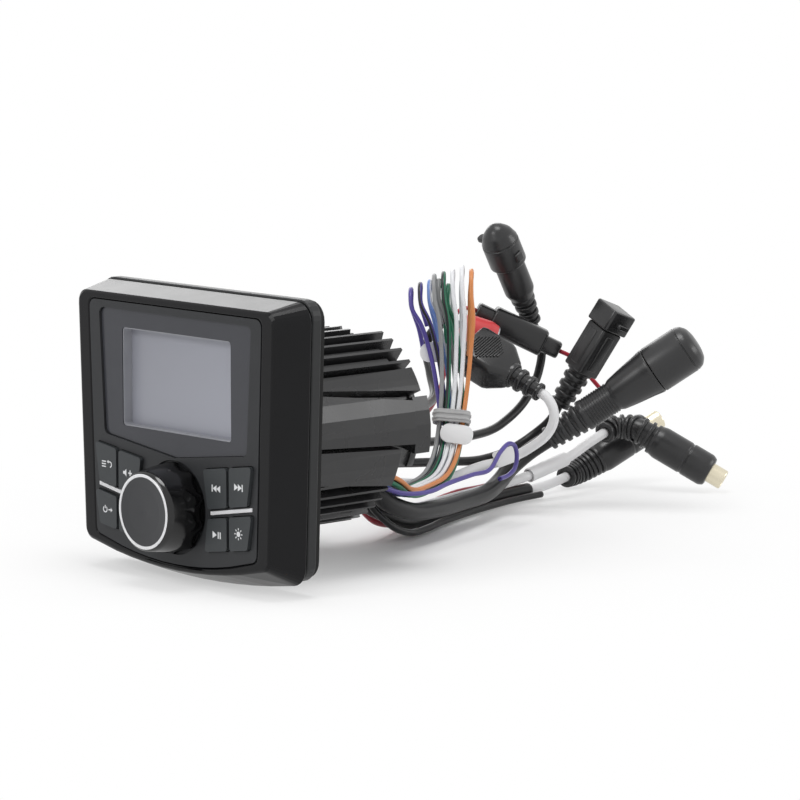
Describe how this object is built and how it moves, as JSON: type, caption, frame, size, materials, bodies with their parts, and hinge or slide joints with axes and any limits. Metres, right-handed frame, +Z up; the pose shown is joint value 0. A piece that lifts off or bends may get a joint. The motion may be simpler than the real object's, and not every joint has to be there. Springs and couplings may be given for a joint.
{
  "type": "marine stereo",
  "caption": "Flush panel stereo for a boat: bezel with display, knob and keys, finned round housing behind the panel, and a rear harness of wires, audio jacks and capped sockets.",
  "frame": {"origin": "under the middle of the head unit, level with the lowest edge of its bezel", "axes": "+X to the right seen from the front, +Y from the front face into the panel, +Z up"},
  "size_m": [0.1338, 0.3209, 0.114],
  "materials": {
    "bezel_plastic": "fine satin texture",
    "face_plastic": "satin",
    "window_gloss": "gloss",
    "display_grey": "gloss",
    "light_white": "translucent white",
    "key_plastic": "satin",
    "knob_gloss": "gloss",
    "knob_front": "satin",
    "bare_steel": "machined",
    "inner_plastic": "matte",
    "circuit_board": "solder mask",
    "coated_casting": "black coating",
    "flange_plastic": "matte",
    "seal_rubber": "matte",
    "wire_white": "satin",
    "wire_grey": "satin",
    "wire_green": "satin",
    "wire_violet": "satin",
    "wire_orange": "satin",
    "wire_red": "satin",
    "cable_black": "satin",
    "tie_grey": "satin",
    "label_white": "paper",
    "moulded_black": "matte moulding",
    "jack_red": "satin",
    "jack_cream": "satin",
    "contact_brass": "plated"
  },
  "bodies": {
    "unit": {"bezel": "bezel_plastic", "faceplate": "face_plastic", "window_panel": "window_gloss", "display_module": "display_grey", "light_bars": "light_white", "encoder_housing": "bare_steel", "key_switches": "inner_plastic", "control_board": "circuit_board", "mounting_flange": "flange_plastic", "panel_gasket": "seal_rubber", "heat_sink_housing": "coated_casting", "rear_cover": "coated_casting", "main_board": "circuit_board", "amplifier_module": "inner_plastic", "capacitors": "inner_plastic", "board_screws": "bare_steel", "housing_screws": "bare_steel", "cover_screws": "bare_steel", "harness_grommet": "seal_rubber", "wires_white": "wire_white", "wires_grey": "wire_grey", "wires_green": "wire_green", "wires_violet": "wire_violet", "wires_orange_blue": "wire_orange", "wire_tie": "tie_grey", "wire_tags": "label_white", "power_wires": "wire_red", "white_leads": "wire_white", "lead_sleeves": "wire_white", "cable_sleeve": "cable_black", "black_cables": "cable_black", "socket_cable": "cable_black", "data_socket": "moulded_black", "tuner_plug": "moulded_black", "remote_plug": "moulded_black", "antenna_socket": "moulded_black", "fuse_holder": "moulded_black", "red_jack": "jack_red", "audio_jack_left": "moulded_black", "audio_jack_right": "moulded_black", "jack_insulators": "jack_cream", "jack_contacts": "contact_brass"},
    "button_menu_key": {"button_menu": "key_plastic"},
    "button_bass_up_key": {"button_bass_up": "key_plastic"},
    "button_source_key": {"button_source": "key_plastic"},
    "button_bass_down_key": {"button_bass_down": "key_plastic"},
    "button_previous_key": {"button_previous": "key_plastic"},
    "button_next_key": {"button_next": "key_plastic"},
    "button_play_key": {"button_play": "key_plastic"},
    "button_dimmer_key": {"button_dimmer": "key_plastic"},
    "knob_carrier": {"push_carrier": "inner_plastic"},
    "knob": {"knob_skirt": "knob_gloss", "knob_ring": "light_white", "knob_cap": "knob_front", "encoder_shaft": "bare_steel"},
    "data_socket_cap_body": {"data_socket_cap": "moulded_black"},
    "remote_plug_cap_body": {"remote_plug_cap": "moulded_black"},
    "antenna_cap_body": {"antenna_cap": "moulded_black"}
  },
  "joints": [
    {"name": "button_menu_press", "type": "slide", "parent": "unit", "child": "button_menu_key", "axis": [0, 1, 0], "range_m": [0, 0.0007], "stiffness_N_per_m": 400},
    {"name": "button_bass_up_press", "type": "slide", "parent": "unit", "child": "button_bass_up_key", "axis": [0, 1, 0], "range_m": [0, 0.0007], "stiffness_N_per_m": 400},
    {"name": "button_source_press", "type": "slide", "parent": "unit", "child": "button_source_key", "axis": [0, 1, 0], "range_m": [0, 0.0007], "stiffness_N_per_m": 400},
    {"name": "button_bass_down_press", "type": "slide", "parent": "unit", "child": "button_bass_down_key", "axis": [0, 1, 0], "range_m": [0, 0.0007], "stiffness_N_per_m": 400},
    {"name": "button_previous_press", "type": "slide", "parent": "unit", "child": "button_previous_key", "axis": [0, 1, 0], "range_m": [0, 0.0007], "stiffness_N_per_m": 400},
    {"name": "button_next_press", "type": "slide", "parent": "unit", "child": "button_next_key", "axis": [0, 1, 0], "range_m": [0, 0.0007], "stiffness_N_per_m": 400},
    {"name": "button_play_press", "type": "slide", "parent": "unit", "child": "button_play_key", "axis": [0, 1, 0], "range_m": [0, 0.0007], "stiffness_N_per_m": 400},
    {"name": "button_dimmer_press", "type": "slide", "parent": "unit", "child": "button_dimmer_key", "axis": [0, 1, 0], "range_m": [0, 0.0007], "stiffness_N_per_m": 400},
    {"name": "knob_press", "type": "slide", "parent": "unit", "child": "knob_carrier", "axis": [0, 1, 0], "range_m": [0, 0.0005], "stiffness_N_per_m": 800},
    {"name": "knob_turn", "type": "hinge", "parent": "knob_carrier", "child": "knob", "pos_m": [0, -0.045, 0.028], "axis": [0, 1, 0], "continuous": true},
    {"name": "data_socket_cap_pull", "type": "slide", "parent": "unit", "child": "data_socket_cap_body", "axis": [0.6108, 0.5599, 0.5599], "range_m": [0, 0.012]},
    {"name": "remote_plug_cap_pull", "type": "slide", "parent": "unit", "child": "remote_plug_cap_body", "axis": [0.3997, 0.3123, 0.8618], "range_m": [0, 0.01]},
    {"name": "antenna_cap_pull", "type": "slide", "parent": "unit", "child": "antenna_cap_body", "axis": [0.1079, -0.5515, 0.8272], "range_m": [0, 0.014]}
  ]
}
